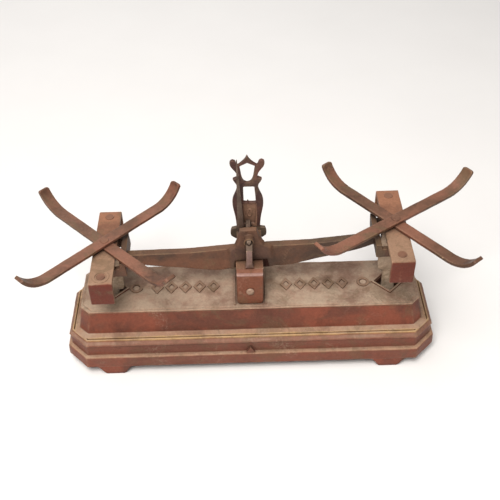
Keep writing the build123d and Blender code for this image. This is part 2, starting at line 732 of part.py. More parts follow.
def cross_strip(x, z, angle):
    """One flat iron of a pan cross: straight in the middle, both ends swept up."""
    direction = (cos(radians(angle)), sin(radians(angle)), 0)
    across = (sin(radians(angle)), -cos(radians(angle)), 0)
    run = STRIP_REACH - STRIP_STRAIGHT
    bend = (run**2 + STRIP_RISE**2) / (2 * STRIP_RISE)
    sweep_angle = degrees(asin(run / bend))
    half = STRIP_THICKNESS / 2
    with BuildPart() as strip:
        with BuildSketch(Plane(origin=(x, 0, z), x_dir=direction, z_dir=across)):
            with BuildLine():
                Line((0, -half), (STRIP_STRAIGHT, -half))
                low = CenterArc((STRIP_STRAIGHT, bend), bend + half, -90, sweep_angle)
                high = CenterArc((STRIP_STRAIGHT, bend), bend - half, -90, sweep_angle)
                Line(low @ 1, high @ 1)
                Line((STRIP_STRAIGHT, half), (0, half))
                mirror(about=Plane.YZ)
            make_face()
        extrude(amount=STRIP_WIDTH / 2, both=True)
        tips = strip.edges().filter_by(lambda e: abs(e.length - STRIP_THICKNESS) < 0.001)
        fillet(tips, 2.5)
        with BuildSketch(Plane.XY.offset(z - half - 1)):
            with Locations((x, 0)):
                Circle(CROSS_RIVET_RADIUS)
        extrude(amount=STRIP_THICKNESS + 2, mode=Mode.SUBTRACT)
    return strip.part


def cross_rivet(x, z):
    """The rivet through both strips, the stirrup and the stem plate's flange."""
    top = z + STIRRUP_TOP + 2 * STRIP_THICKNESS
    with BuildPart() as rivet:
        with BuildSketch(Plane.XY.offset(z + 1.5)):
            with Locations((x, 0)):
                Circle(CROSS_RIVET_RADIUS)
        extrude(amount=top - z - 1.5)
        with BuildSketch(Plane.XY.offset(top)):
            with Locations((x, 0)):
                Circle(4.2)
        extrude(amount=0.8)
        chamfer(rivet.faces().sort_by(Axis.Z)[-1].edges(), 0.4)
    return rivet.part


def stem_pin(x, z):
    """The pin at the foot of the stem, held by the stem and free in the stay."""
    with BuildPart() as pin:
        with BuildSketch(upright(STAY_HALF_DEPTH + 1.5, x, z - STEM_DROP)):
            Circle(STEM_PIN_RADIUS)
        extrude(amount=2 * STAY_HALF_DEPTH + 3)
    return pin.part


for name, x, z, lower_turn, upper_turn in (
    ("left", LEFT_X, LEFT_KNIFE_Z, 0, 0),
    ("right", RIGHT_X, RIGHT_KNIFE_Z, RIGHT_LOWER_TURN, RIGHT_UPPER_TURN),
):
    strip_z = z + STIRRUP_TOP + STRIP_THICKNESS / 2
    save(stirrup(x, z), f"{name}_stirrup")
    save(end_bearing(x, -BEARING_Y, z), f"{name}_front_bearing")
    save(end_bearing(x, BEARING_Y, z), f"{name}_rear_bearing")
    save(bearing_rivets(x, z), f"{name}_bearing_rivets")
    save(stem_plate(x, z), f"{name}_stem_plate")
    save(cross_strip(x, strip_z, lower_turn - 45), f"{name}_lower_strip")
    save(cross_strip(x, strip_z + STRIP_THICKNESS, upper_turn + 45), f"{name}_upper_strip")
    save(cross_rivet(x, z), f"{name}_cross_rivet")
    save(stem_pin(x, z), f"{name}_stem_pin")


# ---------------------------------------------------------------- lower stay, inside the base
with BuildPart() as lower_stay:
    stay_plane = upright(0, 0, STAY_Z, TILT)
    with BuildSketch(stay_plane):
        Circle(11)
        with Locations((-ARM, -END_DROP), (ARM, -END_DROP)):
            Circle(7.5)
        with BuildLine():
            Polyline((0, 8), (ARM, 6 - END_DROP), (ARM, -6 - END_DROP), (0, -8))
            mirror(about=Plane.YZ)
        make_face()
    extrude(amount=STAY_HALF_DEPTH, both=True)
    # thinner between the middle and the ends
    with BuildSketch(stay_plane):
        with GridLocations(ARM, 1, 2, 1):
            Rectangle(ARM - 36, 50)
    extrude(amount=STAY_HALF_DEPTH, both=True, mode=Mode.SUBTRACT)
    with BuildSketch(stay_plane):
        with BuildLine():
            Polyline((0, 8), (ARM - 10, 5.5 - END_DROP), (ARM - 10, -5.5 - END_DROP), (0, -8))
            mirror(about=Plane.YZ)
        make_face()
    extrude(amount=STAY_HALF_DEPTH - 3, both=True)
    # slots for the stems, and the three pivot holes
    with BuildSketch(stay_plane):
        with GridLocations(2 * ARM, 1, 2, 1):
            Rectangle(30, 50)
    extrude(amount=STAY_SLOT_HALF, both=True, mode=Mode.SUBTRACT)
    with BuildSketch(stay_plane):
        Circle(STAY_PIN_RADIUS + STAY_FIT)
        with Locations((-ARM, -END_DROP), (ARM, -END_DROP)):
            Circle(STEM_PIN_RADIUS + OPEN_PIVOT_GAP)
    extrude(amount=STAY_HALF_DEPTH, both=True, mode=Mode.SUBTRACT)
save(lower_stay.part, "lower_stay")


with BuildPart() as stay_hanger:
    with BuildSketch(Plane.XY.offset(TOP_Z - TOP_THICKNESS)):
        Rectangle(32, 2 * HANGER_OUTER)
        with GridLocations(17, 1, 2, 1):
            Circle(3, mode=Mode.SUBTRACT)
    extrude(amount=-HANGER_CHEEK)
    # two cheeks that reach down on either side of the stay
    with BuildSketch(upright(0)):
        with Locations((0, (TOP_Z - TOP_THICKNESS - HANGER_CHEEK + STAY_Z) / 2)):
            Rectangle(20, TOP_Z - TOP_THICKNESS - HANGER_CHEEK - STAY_Z)
        with Locations((0, STAY_Z)):
            Circle(10)
            Circle(STAY_PIN_RADIUS, mode=Mode.SUBTRACT)
    extrude(amount=HANGER_OUTER, both=True)
    with BuildSketch(upright(0)):
        with Locations((0, STAY_Z)):
            Rectangle(40, 2 * (TOP_Z - TOP_THICKNESS - HANGER_CHEEK - STAY_Z))
    extrude(amount=HANGER_OUTER - HANGER_CHEEK, both=True, mode=Mode.SUBTRACT)
save(stay_hanger.part, "stay_hanger")


with BuildPart() as stay_pin:
    with BuildSketch(upright(HANGER_OUTER + 2, 0, STAY_Z)):
        Circle(STAY_PIN_RADIUS)
    extrude(amount=2 * HANGER_OUTER + 2)
    with BuildSketch(upright(-HANGER_OUTER, 0, STAY_Z)):
        Circle(6)
    extrude(amount=2.5)
    chamfer(stay_pin.faces().sort_by(Axis.Y)[0].edges(), 0.8)
save(stay_pin.part, "stay_pin")


# ---------------------------------------------------------------- seal plugs in the top plate
with BuildPart() as seal_plugs:
    with BuildSketch(Plane.XY.offset(TOP_Z - 2)):
        with Locations((-RING_X, 0), (RING_X, 0)):
            Circle(RING_BORE)
    extrude(amount=2.6)
    chamfer(seal_plugs.faces().group_by(Axis.Z)[-1].edges(), 0.4)
save(seal_plugs.part, "seal_plugs")
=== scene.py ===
import json
import math

import bmesh
import bpy
from mathutils import Matrix, Vector


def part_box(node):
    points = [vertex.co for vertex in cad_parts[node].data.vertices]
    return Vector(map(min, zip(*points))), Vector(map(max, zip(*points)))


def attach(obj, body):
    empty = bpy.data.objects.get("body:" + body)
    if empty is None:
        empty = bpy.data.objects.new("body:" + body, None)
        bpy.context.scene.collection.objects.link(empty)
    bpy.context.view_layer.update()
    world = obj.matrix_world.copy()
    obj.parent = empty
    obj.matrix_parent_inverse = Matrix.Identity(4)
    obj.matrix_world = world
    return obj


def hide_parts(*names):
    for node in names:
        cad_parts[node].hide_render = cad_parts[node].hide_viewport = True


# An equal arm balance scale in old cast iron. Lengths are in metres, unless a comment says millimetres.

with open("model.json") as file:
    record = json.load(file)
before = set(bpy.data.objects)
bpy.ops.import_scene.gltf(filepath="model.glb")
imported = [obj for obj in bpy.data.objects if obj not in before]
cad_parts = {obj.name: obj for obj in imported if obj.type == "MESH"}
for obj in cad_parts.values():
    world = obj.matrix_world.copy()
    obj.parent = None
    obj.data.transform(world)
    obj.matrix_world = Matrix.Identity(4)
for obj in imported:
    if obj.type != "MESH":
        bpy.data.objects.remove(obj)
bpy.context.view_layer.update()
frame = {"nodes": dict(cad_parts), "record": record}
nodes = frame["nodes"]
body_of = {node: body for body, members in frame["record"]["behaviour"]["bodies"].items() for node in members}
slot_of = {part["node"]: part["material_slot"] for part in frame["record"]["subparts"]}
scene = bpy.context.scene


# ---------------------------------------------------------------- places that come from the frame
LOW, HIGH = 0, 1
X, Y, Z = 0, 1, 2
SIDES = {"left": -1, "right": 1}


def middle(node, axis):
    """The middle of a node's box along an axis."""
    low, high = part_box(node)
    return (low[axis] + high[axis]) / 2


def half_size(node, axis):
    """Half of a node's box along an axis."""
    low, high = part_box(node)
    return (high[axis] - low[axis]) / 2


def across(low, high):
    """A stretch of x, measured from the middle of the base."""
    return (CENTRE_X + low, CENTRE_X + high)


CENTRE_X = middle("base_casting", X)
TOP_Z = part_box("pillar")[LOW][Z]
STEM_X = {side: middle(side + "_stem_plate", X) for side in SIDES}
STIRRUP_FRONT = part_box("left_stirrup")[LOW][Y]
RIGHT_STIRRUP_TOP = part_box("right_stirrup")[HIGH][Z]
LEFT_STIRRUP_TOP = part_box("left_stirrup")[HIGH][Z]
FRONT_RIVET_Y = middle("left_front_bearing", Y)
PLATE_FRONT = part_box("pillar_front_plate")[LOW][Y]
PLATE_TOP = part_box("pillar_front_plate")[HIGH][Z]
BEAM_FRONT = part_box("beam")[LOW][Y]


# ---------------------------------------------------------------- camera
CAMERA_AT = Vector((-0.01285, -0.6135, 0.67499))
FORWARD = Vector((0.0092, 0.7422, -0.6700)).normalized()
ROLL = math.radians(1.16)
SENSOR_WIDTH = 36.0
FOCAL_LENGTH = 1.67 * SENSOR_WIDTH


def add_camera():
    """The camera in front of the scale and above it, rolled a little about its own axis."""
    right = FORWARD.cross(Vector((0, 0, 1))).normalized()
    up = right.cross(FORWARD)
    rolled_right = math.cos(ROLL) * right - math.sin(ROLL) * up
    rolled_up = math.sin(ROLL) * right + math.cos(ROLL) * up
    turn = Matrix((rolled_right, rolled_up, -FORWARD)).transposed().to_4x4()
    camera = bpy.data.objects.new("camera", bpy.data.cameras.new("camera"))
    camera.data.sensor_width = SENSOR_WIDTH
    camera.data.lens = FOCAL_LENGTH
    camera.data.clip_start = 0.01
    camera.matrix_world = Matrix.Translation(CAMERA_AT) @ turn
    scene.collection.objects.link(camera)
    scene.camera = camera


add_camera()


# ---------------------------------------------------------------- node helpers
MIX_FACTOR, MIX_FIRST, MIX_SECOND, MIX_COLOUR = 0, 6, 7, 2  # sockets of the mix node, for colours


class Look:
    """A material's node tree, with short calls for the nodes used here."""

    def __init__(self, name):
        self.material = bpy.data.materials.new(name)
        self.material.use_nodes = True
        self.tree = self.material.node_tree
        self.tree.nodes.clear()
        self.coords = self.add("ShaderNodeTexCoord").outputs["Object"]
        self.shader = self.add("ShaderNodeBsdfPrincipled")
        self.link(self.shader.outputs[0], self.add("ShaderNodeOutputMaterial").inputs[0])

    def add(self, kind):
        return self.tree.nodes.new(kind)

    def link(self, value, socket):
        """Connect another node's socket, or set a plain value."""
        if isinstance(value, bpy.types.NodeSocket):
            self.tree.links.new(value, socket)
        else:
            socket.default_value = value

    def mapped(self, scale=(1, 1, 1), offset=(0, 0, 0)):
        """The object's coordinates, stretched and moved."""
        node = self.add("ShaderNodeMapping")
        node.inputs["Scale"].default_value = scale
        node.inputs["Location"].default_value = offset
        self.link(self.coords, node.inputs[0])
        return node.outputs[0]

    def noise(self, scale, detail, rough, distort=0.0, coords=None):
        node = self.add("ShaderNodeTexNoise")
        node.inputs["Scale"].default_value = scale
        node.inputs["Detail"].default_value = detail
        node.inputs["Roughness"].default_value = rough
        node.inputs["Distortion"].default_value = distort
        self.link(coords or self.coords, node.inputs["Vector"])
        return node.outputs["Fac"]

    def dots(self, scale, inner, outer, coords=None):
        """1 at the middle of each cell of a random pattern, 0 outside a small dot."""
        node = self.add("ShaderNodeTexVoronoi")
        node.inputs["Scale"].default_value = scale
        self.link(coords or self.coords, node.inputs["Vector"])
        return self.inverse(self.ramp(node.outputs["Distance"], inner, outer))

    def ramp(self, value, low, high):
        """A soft step from 0 at low to 1 at high."""
        node = self.add("ShaderNodeMapRange")
        node.interpolation_type = "SMOOTHSTEP"
        node.inputs["From Min"].default_value = low
        node.inputs["From Max"].default_value = high
        self.link(value, node.inputs["Value"])
        return node.outputs["Result"]

    def between(self, value, low, high, soft):
        """1 from low to high, with soft ends."""
        above = self.ramp(value, low - soft, low + soft)
        below = self.inverse(self.ramp(value, high - soft, high + soft))
        return self.product(above, below)

    def math(self, operation, a, b):
        node = self.add("ShaderNodeMath")
        node.operation = operation
        self.link(a, node.inputs[0])
        self.link(b, node.inputs[1])
        return node.outputs[0]

    def product(self, first, *others):
        for other in others:
            first = self.math("MULTIPLY", first, other)
        return first

    def total(self, a, b):
        return self.math("ADD", a, b)

    def difference(self, a, b):
        return self.math("SUBTRACT", a, b)

    def inverse(self, mask):
        return self.difference(1.0, mask)

    def mix(self, factor, a, b, blend="MIX"):
        node = self.add("ShaderNodeMix")
        node.data_type = "RGBA"
        node.blend_type = blend
        node.clamp_factor = True
        self.link(factor, node.inputs[MIX_FACTOR])
        self.link(a, node.inputs[MIX_FIRST])
        self.link(b, node.inputs[MIX_SECOND])
        return node.outputs[MIX_COLOUR]

    def tint(self, base, colour, amount, *masks):
        """The base colour with another one over it, by this amount where all the masks are 1."""
        return self.mix(self.product(*masks, amount), base, colour)

    def axes(self, vector):
        """The x, y and z sockets of a vector, by their names."""
        node = self.add("ShaderNodeSeparateXYZ")
        self.link(vector, node.inputs[0])
        return node.outputs

    def faces_up(self):
        """How far the surface faces up, from -1 to 1."""
        return self.axes(self.add("ShaderNodeNewGeometry").outputs["Normal"])["Z"]

    def pointiness(self):
        """Above a half on edges that stick out, below it in corners."""
        return self.add("ShaderNodeNewGeometry").outputs["Pointiness"]

    def open_sky(self, distance):
        """1 on open surfaces, less where other surfaces are within this distance."""
        node = self.add("ShaderNodeAmbientOcclusion")
        node.samples = 6
        node.inputs["Distance"].default_value = distance
        return node.outputs["AO"]

    def bump(self, height, strength, distance):
        node = self.add("ShaderNodeBump")
        node.inputs["Strength"].default_value = strength
        node.inputs["Distance"].default_value = distance
        self.link(height, node.inputs["Height"])
        return node.outputs[0]


def linear(screen_colour):
    """A linear colour from the three 0 to 255 numbers of a screen colour."""
    def channel(c):
        c /= 255.0
        return c / 12.92 if c <= 0.04045 else ((c + 0.055) / 1.055) ** 2.4
    return tuple(channel(c) for c in screen_colour) + (1.0,)


def shade(colour, factor):
    """A linear colour, darkened."""
    return tuple(c * factor for c in colour[:3]) + (1.0,)


# ---------------------------------------------------------------- old iron
EDGE = (178, 146, 118)
GRIME = linear((98, 80, 58))
GREY_DUST = (162, 142, 122)
FINE_DARKEST = (0.62, 0.62, 0.62, 1)
FINE_LIGHTEST = (1.3, 1.3, 1.3, 1)
BAND_SOFTNESS = 0.0004
BAND_RAGGEDNESS = 0.0012
PATCH_RAGGEDNESS = 3  # in softnesses of the patch
# how far the painted shade under other pieces reaches
CORNER_REACH = 0.009


def aged_iron(name, rust, dark, dust, edge, dusty=0.6, rough=0.62, painted_corner_shade=0.6, metal=0.15, edge_wear_and_highlight=0.75,
              blotch=1.0, bands=(), patches=()):
    """Old bare iron: a rust film, dust where it faces up, stains, edges lightened by wear and painted
    highlight, painted shade in corners and under other pieces, and pits.

    The four colours are screen colours. The amounts run from 0 to about 1.
    Bands are (low, high, colour, amount), by height. Patches are (ranges, colour, amount, softness),
    where the ranges give the stretch along each axis that bounds the patch.
    """
    n = Look(name)
    rust, dark, dust, edge = (linear(c) for c in (rust, dark, dust, edge))
    large = n.noise(scale=14, detail=5, rough=0.6, distort=0.4)
    medium = n.noise(scale=70, detail=6, rough=0.65)
    fine = n.noise(scale=420, detail=6, rough=0.7)
    streaks = n.noise(scale=60, detail=5, rough=0.7, coords=n.mapped(scale=(0.35, 0.35, 2.2)))
    mottle = n.noise(scale=34, detail=7, rough=0.72, distort=0.8, coords=n.mapped(offset=(0.7, 2.3, 1.1)))
    stain = n.noise(scale=26, detail=5, rough=0.65, distort=0.5, coords=n.mapped(offset=(4.2, 0.3, 2.7)))

    # the rust film, in two shades and with streaks
    base = n.mix(n.ramp(large, 0.42, 0.58), dark, rust)
    base = n.tint(base, dark, 0.55, n.ramp(medium, 0.5, 0.68))
    base = n.tint(base, rust, 0.4, n.ramp(streaks, 0.52, 0.7))

    # dust lies where the surface faces up, thinner where it has been handled
    facing = n.ramp(n.faces_up(), 0.35, 0.92)
    handled = n.ramp(n.total(n.product(large, 0.6), n.product(medium, 0.4)), 0.36, 0.58)
    dust_amount = n.product(facing, n.total(n.product(handled, 0.65), 0.35), dusty)
    base = n.mix(dust_amount, base, dust)

    # bands and patches of another tint, ragged at their sides
    axes = n.axes(n.coords)
    ragged = n.difference(medium, 0.5)
    level = n.total(axes["Z"], n.product(ragged, BAND_RAGGEDNESS))
    for low, high, colour, amount in bands:
        broken = n.total(n.product(n.ramp(streaks, 0.4, 0.56), 0.5), 0.5)
        base = n.tint(base, linear(colour), amount, n.between(level, low, high, BAND_SOFTNESS), broken)
    for ranges, colour, amount, soft in patches:
        inside = []
        for axis, (low, high) in ranges.items():
            place = n.total(axes[axis], n.product(ragged, PATCH_RAGGEDNESS * soft))
            inside.append(n.between(place, low, high, soft))
        base = n.tint(base, linear(colour), amount, *inside)

    # blotches over all: greenish brown grime, dark oily stains and lighter scuffs
    base = n.tint(base, GRIME, 0.5 * blotch, n.ramp(mottle, 0.5, 0.62))
    base = n.tint(base, shade(dark, 0.6), 0.5 * blotch, n.ramp(stain, 0.55, 0.7))
    base = n.tint(base, dust, 0.45 * blotch, n.ramp(stain, 0.46, 0.3), n.ramp(fine, 0.45, 0.6))

    # edges lightened by wear and by painted highlight, then painted shade in corners and under other pieces
    base = n.tint(base, edge, edge_wear_and_highlight, n.ramp(n.pointiness(), 0.515, 0.58), n.ramp(medium, 0.36, 0.6))
    base = n.tint(base, shade(dark, 0.35), painted_corner_shade, n.inverse(n.ramp(n.pointiness(), 0.42, 0.492)))
    base = n.tint(base, shade(dark, 0.3), painted_corner_shade, n.inverse(n.ramp(n.open_sky(CORNER_REACH), 0.35, 0.85)))

    # small pits, light specks, and fine grain over all
    pits = n.product(n.dots(520, 0.05, 0.22), n.ramp(medium, 0.48, 0.6))
    specks = n.dots(210, 0.04, 0.12, coords=n.mapped(offset=(3.1, 1.7, 0.4)))
    base = n.tint(base, shade(dark, 0.4), 0.55, pits)
    base = n.tint(base, edge, 0.15, specks, n.ramp(large, 0.5, 0.6))
    base = n.mix(1.0, base, n.mix(fine, FINE_DARKEST, FINE_LIGHTEST), "MULTIPLY")
    n.link(base, n.shader.inputs["Base Color"])

    # smoother where it has been rubbed, duller under dust
    rubbed = n.product(n.ramp(medium, 0.4, 0.75), 0.16)
    roughness = n.total(n.difference(rough, rubbed), n.product(dust_amount, 0.25))
    n.link(roughness, n.shader.inputs["Roughness"])
    n.shader.inputs["Metallic"].default_value = metal
    n.shader.inputs["Specular IOR Level"].default_value = 0.3

    # the surface's own relief: lumps, grain and pits
    grain = n.total(n.product(medium, 0.6), n.product(fine, 0.4))
    relief_height = n.total(n.difference(grain, n.product(pits, 0.5)), n.product(mottle, 0.8))
    n.link(n.bump(relief_height, strength=0.7, distance=0.0009), n.shader.inputs["Normal"])
    return n.material


# tints of the base by height: the tones of skirt and plinth, and painted highlights along the rounded edges
# and ledge
BASE_BANDS = (
    (0.0110, 0.0246, (116, 71, 56), 0.8),     # skirt
    (0.0256, 0.0376, (112, 69, 55), 0.8),     # plinth
    (0.0240, 0.0256, (162, 126, 100), 0.75),  # painted highlight on the skirt's upper edge
    (0.0376, 0.0427, (124, 82, 66), 0.75),    # plinth's lip
    (0.0428, 0.0446, (184, 150, 102), 0.75),  # yellowish painted highlight on the bead
    (0.0446, 0.0462, (154, 118, 94), 0.75),   # painted highlight on the ledge
    (0.0706, 0.0720, (176, 144, 120), 0.8),   # painted highlight on the lip of the top plate
)
STIRRUP_PATCHES = (
    # worn front half, and red front face, darkened in part as painted shade
    ({"Y": (STIRRUP_FRONT + 0.0008, -0.006)}, (144, 118, 96), 0.7, 0.002),
    ({"Y": (STIRRUP_FRONT - 0.0058, STIRRUP_FRONT + 0.0008), "Z": (0.08, RIGHT_STIRRUP_TOP - 0.0014)},
     (92, 36, 24), 0.9, 0.0005),
)
LYRE_PATCHES = (
    # lighter panel under the lower window, and greenish grime below it
    ({"X": across(-0.0050, 0.0086), "Z": (0.138, 0.1668)}, (138, 104, 84), 0.85, 0.0005),
    ({"Z": (0.125, 0.1375)}, (106, 96, 78), 0.5, 0.002),
)
PLATE_PAINTED_HIGHLIGHTS = (
    # painted highlight along the upper front edge
    ({"Y": (PLATE_FRONT - 0.0015, PLATE_FRONT + 0.0030), "Z": (PLATE_TOP - 0.0009, PLATE_TOP + 0.0005)},
     (150, 120, 112), 0.7, 0.0003),
    ({"Y": (PLATE_FRONT - 0.0015, PLATE_FRONT + 0.0008), "Z": (PLATE_TOP - 0.0019, PLATE_TOP + 0.0005)},
     (150, 120, 112), 0.6, 0.0003),
)
BEAM_PATCHES = (
    # yellowish lower edges of the two webs, dark hub, and redder left arm
    ({"X": across(-0.085, -0.016), "Z": (0.0955, 0.0992)}, (150, 124, 74), 0.7, 0.0006),
    ({"X": across(0.016, 0.09), "Z": (0.0985, 0.1022)}, (150, 124, 74), 0.5, 0.0006),
    ({"X": across(-0.018, 0.018), "Y": (BEAM_FRONT, 0.0), "Z": (0.094, 0.1305)}, (84, 62, 54), 0.55, 0.002),
    ({"X": across(-0.2, -0.022), "Y": (BEAM_FRONT, 0.0), "Z": (0.094, 0.114)}, (116, 76, 56), 0.55, 0.004),
)
PILLAR_PATCHES = (
    # rubbed posts
    ({"X": across(-0.004, 0.004), "Z": (0.1135, 0.15)}, (128, 106, 100), 0.8, 0.0005),
)

# the record's material slots, then three more looks for single pieces
IRONS = {
    "base_iron": dict(rust=(126, 68, 50), dark=(96, 56, 43), dust=GREY_DUST, edge=EDGE,
                      dusty=0.95, bands=BASE_BANDS, edge_wear_and_highlight=0.6, blotch=0.75),
    "pillar_iron": dict(rust=(126, 76, 54), dark=(98, 58, 43), dust=(146, 118, 94), edge=EDGE,
                        dusty=0.5, patches=PILLAR_PATCHES),
    "lyre_iron": dict(rust=(92, 58, 50), dark=(64, 44, 40), dust=(110, 80, 66), edge=(128, 94, 78),
                      dusty=0.3, patches=LYRE_PATCHES),
    "beam_iron": dict(rust=(98, 67, 51), dark=(70, 52, 42), dust=(116, 90, 68), edge=(150, 120, 80),
                      dusty=0.3, edge_wear_and_highlight=0.6, patches=BEAM_PATCHES),
    "stirrup_iron": dict(rust=(136, 92, 68), dark=(100, 66, 50), dust=(148, 104, 80), edge=EDGE,
                         patches=STIRRUP_PATCHES),
    "stem_iron": dict(rust=(200, 178, 154), dark=(170, 146, 124), dust=(206, 186, 164),
                      edge=(210, 190, 168), dusty=0.7, painted_corner_shade=0.4),
    "strip_iron": dict(rust=(118, 74, 58), dark=(80, 56, 43), dust=(138, 98, 78), edge=(172, 138, 108),
                       dusty=0.5, rough=0.5, blotch=1.3),
    "inner_iron": dict(rust=(112, 66, 50), dark=(70, 46, 38), dust=(120, 92, 76), edge=(130, 100, 80),
                       dusty=0.3),
    "fastener_steel": dict(rust=(116, 78, 60), dark=(84, 56, 45), dust=(136, 100, 80),
                           edge=(170, 134, 110), dusty=0.5, metal=0.2),
    "knife_steel": dict(rust=(92, 72, 62), dark=(62, 50, 44), dust=(104, 84, 72), edge=(140, 120, 104),
                        dusty=0.3, metal=0.4),
    "bright_metal": dict(rust=(176, 150, 130), dark=(140, 116, 98), dust=(186, 164, 142),
                         edge=(210, 190, 170), dusty=0.4, metal=0.3),
    # the relief's browner colour, darkened in part as painted shade to set it off from the plate
    "relief_iron": dict(rust=(132, 100, 80), dark=(98, 72, 56), dust=(144, 118, 98), edge=(174, 146, 124),
                        dusty=0.7),
    "plate_iron": dict(rust=(138, 82, 56), dark=(114, 66, 46), dust=(150, 112, 94), edge=(196, 172, 160),
                       dusty=0.5, patches=PLATE_PAINTED_HIGHLIGHTS),
    # the pillar's rivet head, lightened all over as a painted highlight
    "rivet_painted_highlight": dict(rust=(186, 158, 138), dark=(150, 122, 104), dust=(204, 182, 162),
                         edge=(226, 208, 190), dusty=0.5, metal=0.3),
}
irons = {name: aged_iron(name, **values) for name, values in IRONS.items()}


# ---------------------------------------------------------------- casting finish
def clouds(name, size, depth):
    """A soft noise texture for shaping surfaces."""
    texture = bpy.data.textures.new(name, "CLOUDS")
    texture.noise_scale = size
    texture.noise_depth = depth
    texture.noise_basis = "IMPROVED_PERLIN"
    return texture


LUMPS = clouds("lumps", size=0.012, depth=2)
GRAIN = clouds("grain", size=0.0032, depth=3)
CAST_LUMPS, CAST_GRAIN = 0.0004, 0.00018
BASE_LUMPS, BASE_GRAIN = 0.0008, 0.0003
SAME_POINT = 1e-6


def push(piece, texture, strength):
    """Make the surface uneven with a soft texture."""
    modifier = piece.modifiers.new("push", "DISPLACE")
    modifier.texture = texture
    modifier.texture_coords = "GLOBAL"
    modifier.strength = strength
    modifier.mid_level = 0.5


def remesh(piece, voxel, smoothing):
    """Even small faces, with edges rounded by this many rounds of smoothing."""
    modifier = piece.modifiers.new("remesh", "REMESH")
    modifier.mode = "VOXEL"
    modifier.voxel_size = voxel
    piece.modifiers.new("smooth", "SMOOTH").iterations = smoothing


def weld(piece):
    """Join the corner points that the CAD mesh has once for each face."""
    piece.modifiers.new("weld", "WELD").merge_threshold = SAME_POINT


def apply_modifiers(piece):
    graph = bpy.context.evaluated_depsgraph_get()
    mesh = bpy.data.meshes.new_from_object(piece.evaluated_get(graph))
    piece.modifiers.clear()
    piece.data = mesh


def finish_piece(piece, node, look=None):
    """Apply the modifiers, shade smooth, give the piece its look and body, and hide its CAD node."""
    apply_modifiers(piece)
    for polygon in piece.data.polygons:
        polygon.use_smooth = True
    piece.data.materials.clear()
    piece.data.materials.append(irons[look or slot_of[node]])
    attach(piece, body_of[node])
    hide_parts(node)


def cast_piece(node, voxel, smoothing=3, look=None):
    """The CAD node's shape as an old casting: rounded edges, uneven faces."""
    piece = bpy.data.objects.new(node + "_piece", nodes[node].data.copy())
    scene.collection.objects.link(piece)
    weld(piece)
    remesh(piece, voxel * (1.0), smoothing)
    push(piece, LUMPS, CAST_LUMPS)
    push(piece, GRAIN, CAST_GRAIN)
    finish_piece(piece, node, look)


# ---------------------------------------------------------------- shapes
def lofted(name, loops):
    """A closed shape through level loops that all have the same number of points."""
    mesh = bmesh.new()
    rows = [[mesh.verts.new(point) for point in loop] for loop in loops]
    count = len(rows[0])
    for low, high in zip(rows, rows[1:]):
        for i in range(count):
            j = (i + 1) % count
            mesh.faces.new((low[i], low[j], high[j], high[i]))
    mesh.faces.new(list(reversed(rows[0])))
    mesh.faces.new(rows[-1])
    data = bpy.data.meshes.new(name)
    mesh.to_mesh(data)
    mesh.free()
    obj = bpy.data.objects.new(name, data)
    scene.collection.objects.link(obj)
    return obj


def prism(name, points, low, high):
    """An upright prism over a plan outline."""
    return lofted(name, [[Vector((x, y, z)) for x, y in points] for z in (low, high)])


def lying_prism(name, points, front, back):
    """A prism along y over an outline in the upright plane."""
    return lofted(name, [[Vector((x, y, z)) for x, z in points] for y in (front, back)])


def diamond(x, half_x, half_y):
    return [(x - half_x, 0), (x, -half_y), (x + half_x, 0), (x, half_y)]


def circle(x, y, radius, count=32):
    turns = [2 * math.pi * i / count for i in range(count)]
    return [(x + radius * math.cos(turn), y + radius * math.sin(turn)) for turn in turns]


def carve(piece, tool):
    """Cut the tool's shape out of the piece, and delete the tool."""
    cut = piece.modifiers.new("carve", "BOOLEAN")
    cut.object = tool
    cut.operation = "DIFFERENCE"
    cut.solver = "EXACT"
    apply_modifiers(piece)
    bpy.data.objects.remove(tool)


def relief(piece, voxel=0.0003, smoothing=2, grain=0.00012, look=None, node="base_casting"):
    """Soften a small raised detail and finish it as a piece of the node."""
    remesh(piece, voxel, smoothing)
    push(piece, GRAIN, grain)
    finish_piece(piece, node, look)


# ---------------------------------------------------------------- base casting
MM = 0.001
SKIRT_STEP = 0.0198
HALF_X = half_size("base_casting", X) - SKIRT_STEP
HALF_Y = half_size("base_casting", Y) - SKIRT_STEP
CHAMFER = 0.0092
CHAMFER_GROWTH = 0.586  # of a corner cut at 45 degrees, for each unit that its loop moves outwards
LEAST_CORNER = 0.0004
LEAST_SHARE = 0.05      # of the chamfer, at the middle of the top plate
CORNER_SHRINKS_FROM = 3  # millimetres inside the top plate's outline
CORNER_SHRINKS_OVER = 30
SIDE_PARTS = (150, 6, 28, 6)  # front or back, corner, left or right, corner
STEM_HOLE = 0.014  # half of the diamond's diagonal
PLUG_RADIUS = 0.0034
PLUG_X = half_size("seal_plugs", X) - PLUG_RADIUS
SCREW_X = 0.0085
SCREW_RADIUS = 0.003
HOLE_BOTTOM, HOLE_TOP = TOP_Z - 0.0125, TOP_Z + 0.0075
SHARP_ANGLE = math.radians(50)


def outline(z, step, corner):
    """One level loop of the base, a step outside the top plate's outline."""
    corner = max(corner, LEAST_CORNER)
    x, y = HALF_X + step, HALF_Y + step
    turns = [(corner - x, -y), (x - corner, -y), (x, corner - y), (x, y - corner),
             (x - corner, y), (corner - x, y), (-x, y - corner), (-x, corner - y)]
    points = []
    for k, (x0, y0) in enumerate(turns):
        x1, y1 = turns[(k + 1) % len(turns)]
        parts = SIDE_PARTS[k % len(SIDE_PARTS)]
        for i in range(parts):
            t = i / parts
            points.append(Vector((CENTRE_X + x0 + (x1 - x0) * t, y0 + (y1 - y0) * t, z)))
    return points


def growing_loops(profile):
    """Loops whose corners grow with their step, so that the corner faces stay parallel."""
    return [outline(z * MM, step * MM, CHAMFER + CHAMFER_GROWTH * step * MM) for z, step in profile]


def plate_loops(profile):
    """Loops with the top plate's corner, which shrinks towards the middle of the plate."""
    loops = []
    for z, step in profile:
        share = 1 + (step + CORNER_SHRINKS_FROM) / CORNER_SHRINKS_OVER
        loops.append(outline(z * MM, step * MM, CHAMFER * min(1.0, max(LEAST_SHARE, share))))
    return loops


